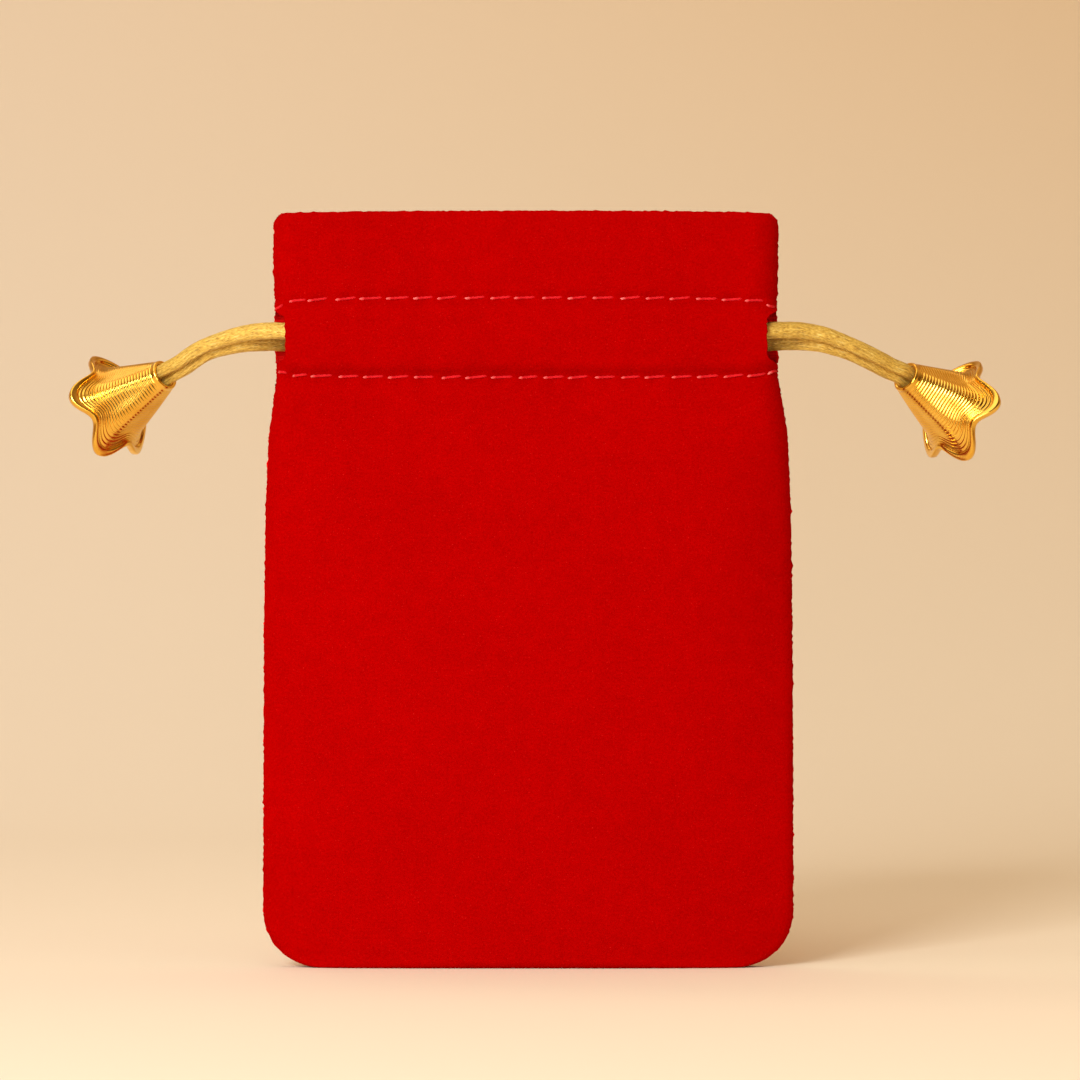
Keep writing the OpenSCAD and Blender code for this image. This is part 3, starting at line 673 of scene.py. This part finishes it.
def sheet(front):
    """The cloth's pile face and its reverse, as rows from the foot seam to the hem's edge."""
    faces, backs, path, kinds = [], [], [], []
    length = 0.0

    def put(face, back, step, kind):
        nonlocal length
        length += step
        faces.append(face)
        backs.append(back)
        path.append(length)
        kinds.append(kind)

    foot = [(LIE, 0, LIE, 1.5)]
    foot += [(y, 0, y * 0.75, 1.5) for y in np.arange(0.6, 3.3, 0.55)]
    for a in np.radians([20, 45, 70, 90]):
        y, z = 3.35 + 1.45 * math.sin(a), 1.45 * (1 - math.cos(a))
        foot.append((y, z, 2.5 + 0.75 * math.sin(a), 1.5 + 1.2 * (1 - math.cos(a))))
    for y, z, yb, zb in foot:
        w = float(half_w(z))
        x = columns(w)
        t = np.sqrt(np.maximum(0, 1 - (1 - np.minimum(1, (w - np.abs(x)) / 1.85)) ** 2))
        near = LIE if y == LIE else min(y, 0.35)
        far = mix(1 - 0.18 * (np.abs(x) / w) ** 4, 1, ease(0.6, 0, y))
        wave = small_waves(x, 3.0, front) * 0.3 if y > 3.3 else 0
        above_it = face_y(x, 3.0)
        face = mix(near, np.minimum(y * far, above_it), t) + wave
        faces.append(np.column_stack([x, face, np.full_like(x, z)]))
        back = mix(0.12, np.minimum(yb * far, above_it - FABRIC), t) if y > LIE else np.full_like(x, LIE)
        backs.append(np.column_stack([x, np.maximum(LIE, back), np.full_like(x, zb)]))
        length += 0.55
        path.append(length)
        kinds.append("outer")
    heights = list(np.arange(2.0, 8, 0.5)) + list(np.arange(8, LOWER - 3, 0.6))
    heights += list(np.arange(LOWER - 3, LOWER + 3.6, 0.3)) + list(np.arange(LOWER + 4, UPPER - 3.2, 0.45))
    heights += list(np.arange(UPPER - 3.2, UPPER + 3, 0.3)) + list(np.arange(UPPER + 3, FOLD_Z - 0.2, 0.55))
    heights = sorted({round(h, 3) for h in heights} | {LOWER, FOLD_Z})
    before = 1.45
    for z in heights:
        x = columns(float(outer_w(z, front)))
        wave = small_waves(x, z, front)
        inside = reverse_y(x, z)
        inside = np.maximum(LIE, inside + wave * ease(0.2, 1.5, inside))
        put(np.column_stack([x, face_y(x, z) + wave, dropped(x, z)]),
            np.column_stack([x, inside, dropped(x, z)]), z - before, "outer")
        before = z
    top_face, top_back = faces[-1], backs[-1]
    w1 = float(hem_w(FOLD_Z))

    def hem_row(z):
        x = columns(float(hem_w(z)))
        wave = small_waves(x, z, front) * ease(LOWER - 2, LOWER + 1, z) * 0.6
        y = np.minimum(hem_back(x, z), hem_back(x, z) + wave)
        return (np.column_stack([x, np.maximum(LIE, y - FABRIC), dropped(x, z)]),
                np.column_stack([x, np.maximum(2 * LIE, y), dropped(x, z)]))

    hem_face, hem_rev = hem_row(FOLD_Z)
    for a in np.radians(np.arange(22.5, 158, 22.5)):
        rows = []
        for r, outer, hem in ((FABRIC + LIE, top_face, hem_face), (LIE, top_back, hem_rev)):
            tip = float(half_w(FOLD_Z + r * math.sin(a)))
            w = tip if a <= math.pi / 2 else mix(tip, w1, (a - math.pi / 2) / (math.pi / 2))
            x = columns(w)
            y = (outer[:, 1] + hem[:, 1]) / 2 + (outer[:, 1] - hem[:, 1]) / 2 * math.cos(a)
            rows.append(np.column_stack([x, y, dropped(x, FOLD_Z + r * math.sin(a))]))
        put(rows[0], rows[1], (FABRIC + LIE) * 0.39, "fold")
    down = sorted(set(np.round(np.concatenate([
        np.arange(LOWER - HEM_TAIL, LOWER, 0.7), np.arange(LOWER, LOWER + 3, 0.35),
        np.arange(LOWER + 3, UPPER - 2.6, 0.9), np.arange(UPPER - 2.6, UPPER + 0.8, 0.35),
        np.arange(UPPER + 0.8, FOLD_Z, 0.9)]), 3)) | {FOLD_Z}, reverse=True)
    before = FOLD_Z
    for z in down:
        face, back = hem_row(z)
        put(face, back, before - z, "hem")
        before = z
    return np.array(faces), np.array(backs), np.array(path), kinds


def roughen(face, back, seed):
    """The pile's uneven surface, and its ragged outline along the side edges."""
    noise = np.random.default_rng(seed)
    rows, cols, _ = face.shape
    face[..., 1] += noise.normal(0, 0.022, (rows, cols))
    ragged = noise.normal(0, 0.085, (rows, 2))
    for k, end in ((0, 0), (1, cols - 1)):
        for step, share in enumerate((1, 0.8, 0.45)):
            j = end + step if k == 0 else end - step
            face[:, j, 0] += ragged[:, k] * share
            back[:, j, 0] += ragged[:, k] * share * (1 if step == 0 else 0)
    return face, back


def panel(front):
    """One panel as four blocks: its left and right halves, each split at the lower stitch row."""
    name = "front_panel" if front else "back_panel"
    face, back, path, kinds = sheet(front)
    rows, cols, _ = face.shape
    face, back = roughen(face, back, 21 if front else 22)
    kinds = np.array(kinds)
    crown = kinds == "fold"
    face[crown, :, 2] += np.random.default_rng(5).normal(0, 0.07, (crown.sum(), cols))
    face, back = set_over(face), set_over(back)
    points, faces, _ = closed_sheet(face, back, front)
    normals = vertex_normals(points, faces).reshape(2, rows, cols, 3)
    uv = np.stack([face[..., 0] / 100, np.broadcast_to((path / 100)[:, None], (rows, cols))], -1)
    split = int(np.argmin(np.abs(face[:, cols // 2, 2] - LOWER) + 1e3 * (kinds != "outer")))
    middle = cols // 2
    for level, r in (("lower", slice(0, split + 1)), ("upper", slice(split, rows))):
        for side, c in (("left", slice(0, middle + 1)), ("right", slice(middle, cols))):
            points, faces, which = closed_sheet(face[r, c], back[r, c], front)
            obj = new_piece(f"{name}_{level}_{side}", points, faces, [PILE, BACKING],
                            np.concatenate([uv[r, c].reshape(-1, 2)] * 2), face_material=which,
                            normals=normals[:, r, c].reshape(-1, 3))
            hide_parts(name)
            gather(obj)


def closed_sheet(face, back, front):
    """Pile face, reverse and cut edges of a block of the cloth, as one closed surface."""
    rows, cols, _ = face.shape
    points = np.concatenate([face.reshape(-1, 3), back.reshape(-1, 3)]) * [1, -1 if front else 1, 1]
    half = rows * cols
    cells = grid_faces(rows, cols)
    edge = np.concatenate([
        np.arange(cols), np.arange(1, rows) * cols + cols - 1,
        (rows - 1) * cols + np.arange(cols - 2, -1, -1), np.arange(rows - 2, 0, -1) * cols])
    following = np.roll(edge, -1)
    rim = np.stack([edge, edge + half, following + half, following], -1)
    if front:
        faces = np.concatenate([cells, cells[:, ::-1] + half, rim])
    else:
        faces = np.concatenate([cells[:, ::-1], cells + half, rim[:, ::-1]])
    which = np.zeros(len(faces), int)
    which[len(cells):2 * len(cells)] = 1
    return points, faces, which


def gather(obj):
    """Bakes the placement of a block of cloth or thread into its points."""
    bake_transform(obj)


def thread_tube(points, radius, turns):
    """One twisted two-ply stitch through the given points."""
    line, _ = smooth_line(np.asarray(points, float), np.zeros((len(points), 1)), 0.28)
    t = unit(np.gradient(line, axis=0))
    n = unit(np.cross(t, [0, 1.0, 0.13]))
    b = np.cross(t, n)
    phi = np.arange(8) / 8 * 2 * np.pi
    s = np.linspace(0, 1, len(line))
    ply = 1 + 0.17 * np.cos(2 * (phi[None, :] - turns * np.pi * s[:, None]))
    thin = radius * (0.55 + 0.45 * np.sin(np.pi * np.clip(s, 0.04, 0.96)) ** 0.35)
    ring = (line[:, None, :] + n[:, None, :] * (thin[:, None] * ply * np.cos(phi))[..., None]
            + b[:, None, :] * (thin[:, None] * ply * np.sin(phi))[..., None])
    rows = len(line)
    faces = grid_faces(rows, 8, closed_cols=True)
    uv = np.stack(np.broadcast_arrays(s[:, None] * 0.04 * rows / 14, phi[None, :] / 60), -1).reshape(-1, 2)
    return ring.reshape(-1, 3), faces, uv


def thread_piece(name, tubes, node):
    """Several stitches as one piece."""
    points, faces, uvs, first = [], [], [], 0
    for p, f, uv in tubes:
        points.append(p)
        faces.append(f + first)
        uvs.append(uv)
        first += len(p)
    points = set_over(np.concatenate(points))
    obj = new_piece(name, points, np.concatenate(faces), [THREAD], np.concatenate(uvs))
    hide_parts(node)
    gather(obj)


def stitching(front, upper):
    """One stitch row: stitches on the pile, and the short ones inside between them."""
    word = ("front" if front else "back") + ("_upper" if upper else "_lower") + "_stitching"
    flip = -1 if front else 1
    wobble = np.random.default_rng(11 + 2 * front + upper)
    tubes = {"left": [], "right": []}
    for outside in (True, False):
        for i in [*range(-9, 10), -9.55, 9.55] if outside else range(-9, 9):
            middle = (i + (0 if outside else 0.5)) * STITCH + wobble.normal(0, 0.16)
            length = (STITCH_LEN if abs(i) <= 9 else 1.5) * (1 + wobble.normal(0, 0.05))
            if abs(i) == 9:
                middle, length = middle - 0.5 * np.sign(i), length - 0.5
            tilt = 0.14 + wobble.normal(0, 0.05)
            line = []
            for s in (-1, -0.9, -0.6, 0, 0.6, 0.9, 1):
                x = middle + s * length / 2
                z = float(stitch_line(x, upper)) + s * tilt
                sink = {1: 0.55, 0.9: 0.12}.get(abs(s), -0.1 - 0.05 * (1 - abs(s)))
                if outside:
                    y = float(face_y(x, z) + small_waves(x, z, front)) - sink
                else:
                    y = max(LIE, float(hem_back(x, z)) - FABRIC) + sink
                line.append((x, flip * y, z))
            tubes["left" if middle < 0 else "right"].append(thread_tube(line, THREAD_D / 2, 5))
    for side, parts in tubes.items():
        thread_piece(f"{word}_{side}", parts, word)


def seam_run(side, heights, inset):
    """A lockstitch that weaves through both edges."""
    s = SIGN[side]
    line = []
    for i, z in enumerate(heights):
        x = s * (float(half_w(z)) - inset(z))
        line.append((x, (1 if i % 2 else -1) * (float(reverse_y(x, z)) + 0.3), z))
    return line


def seams():
    """The seam round the body's sides and foot, and the two short ones of the header."""
    for side in ("left", "right"):
        s = SIGN[side]
        inset = lambda z: float(mix(1.2, 0.3, ease(98, 106, z)))
        up = seam_run(side, np.arange(FOOT_R, 112, 3.0), inset)
        corner = []
        for k, a in enumerate(np.radians((20, 40, 60, 80))):
            corner.append((s * (BODY_W / 2 - FOOT_R + (FOOT_R - 1.2) * math.cos(a)),
                           0.5 * (-1) ** k, FOOT_R - (FOOT_R - 1.2) * math.sin(a)))
        foot = [(s * x, 0.5 * (-1) ** k, 1.2) for k, x in enumerate(np.arange(39, 0.5, -3.0))]
        line = up[::-1] + corner + foot
        thread_piece(f"body_seam_thread_{side}", [thread_tube(line, THREAD_D / 2.4, 90)],
                     "body_seam_thread")
        header = seam_run(side, np.arange(124.6, 138.2, 3.0), lambda z: 0.3)
        thread_piece(f"{side}_header_seam", [thread_tube(header, THREAD_D / 2.4, 12)],
                     f"{side}_header_seam_thread")


for front in (True, False):
    panel(front)
    for upper in (True, False):
        stitching(front, upper)
seams()


# ---------------------------------------------------------------- floor and light
def studio():
    """A paper sweep with painted shade in its colour: warmer and darker towards its top right, and dark
    near the camera.
    """
    m, tree, shader = material("studio_paper", Roughness=0.9, Specular_IOR_Level=0.1)
    place = add(tree, "ShaderNodeTexCoord").outputs["Object"]
    split = add(tree, "ShaderNodeSeparateXYZ", [(place, "Vector")])
    rise = add(tree, "ShaderNodeMapRange", [(split.outputs["Z"], "Value")], From_Min=0.0, From_Max=0.4)
    cross = add(tree, "ShaderNodeMapRange", [(split.outputs["X"], "Value")], From_Min=-0.2, From_Max=0.3)
    # Painted shade: the paper's colour grows darker and warmer towards its top and its right, where less of
    # the key light falls.
    paper_with_painted_shade = blended(tree, rise.outputs[0], (0.91, 0.82, 0.67), (0.98, 0.79, 0.56))
    right = blended(tree, rise.outputs[0], (0.92, 0.83, 0.65), (0.95, 0.68, 0.38))
    paper_with_painted_shade = blended(tree, cross.outputs[0], paper_with_painted_shade, right)
    # Painted shade: the floor near the camera is painted dark, as if it lay in shadow, so the gold reflects
    # dark there.
    near = add(tree, "ShaderNodeMapRange", [(split.outputs["Y"], "Value")], From_Min=-0.6, From_Max=-0.25)
    paper_with_painted_shade = blended(tree, near.outputs[0], (0.2, 0.1, 0.045), paper_with_painted_shade)
    tree.links.new(paper_with_painted_shade, shader.inputs["Base Color"])
    profile = [(-1500, 0), (-400, 0), (-100, 0), (150, 0)]
    for a in np.radians(np.arange(3, 91, 3)):
        profile.append((300 + 1000 * math.sin(a), 1000 * (1 - math.cos(a))))
    profile += [(1300, 1300), (1300, 2200)]
    xs = np.array([-1600, -500, 0, 500, 1600.0])
    points = np.array([[x, y, z] for y, z in profile for x in xs])
    paper = new_piece("studio_sweep", points, grid_faces(len(profile), len(xs))[:, ::-1], [m])


def lamp(name, place, target, size, power, colour=(1, 1, 1)):
    """A square lamp at a place in mm, turned towards its target."""
    light = bpy.data.lights.new(name, "AREA")
    light.energy = power
    light.color = colour
    light.size = size
    obj = bpy.data.objects.new(name, light)
    bpy.context.scene.collection.objects.link(obj)
    obj.location = [c * MM for c in place]
    away = Vector(place) - Vector(target)
    obj.rotation_euler = away.to_track_quat("Z", "Y").to_euler()


WORLD_STRENGTH = 0.76

studio()
lamp("key_light", (-468, -1051, 558), (0, 0, 70), 0.42, 12.8)
lamp("fill_light", (-150, -1150, 40), (0, 0, 90), 0.5, 4.8)
lamp("backdrop_light", (-300, 350, 950), (-50, 1100, 350), 0.6, 1.5)
lamp("top_light", (-250, -420, 1100), (0, 0, 60), 0.9, 3.5, (1.0, 0.95, 0.88))

world = bpy.data.worlds.new("studio_world")
bpy.context.scene.world = world
world.use_nodes = True
tree = world.node_tree
heading = add(tree, "ShaderNodeTexCoord").outputs["Generated"]
parts = add(tree, "ShaderNodeSeparateXYZ", [(heading, "Vector")])
up = add(tree, "ShaderNodeMapRange", [(parts.outputs["Z"], "Value")],
         From_Min=-0.2, From_Max=0.7).outputs[0]
back = add(tree, "ShaderNodeMapRange", [(parts.outputs["Y"], "Value")],
           From_Min=-0.8, From_Max=0.2).outputs[0]
# Warm and bright behind the pouch, dim on the camera's side
sky = blended(tree, up, (0.4, 0.18, 0.06), (1.0, 0.64, 0.31))
dim = blended(tree, up, (0.03, 0.012, 0.005), (0.22, 0.15, 0.09))
sky = blended(tree, back, dim, sky)
tree.links.new(sky, tree.nodes["Background"].inputs[0])
tree.nodes["Background"].inputs[1].default_value = WORLD_STRENGTH
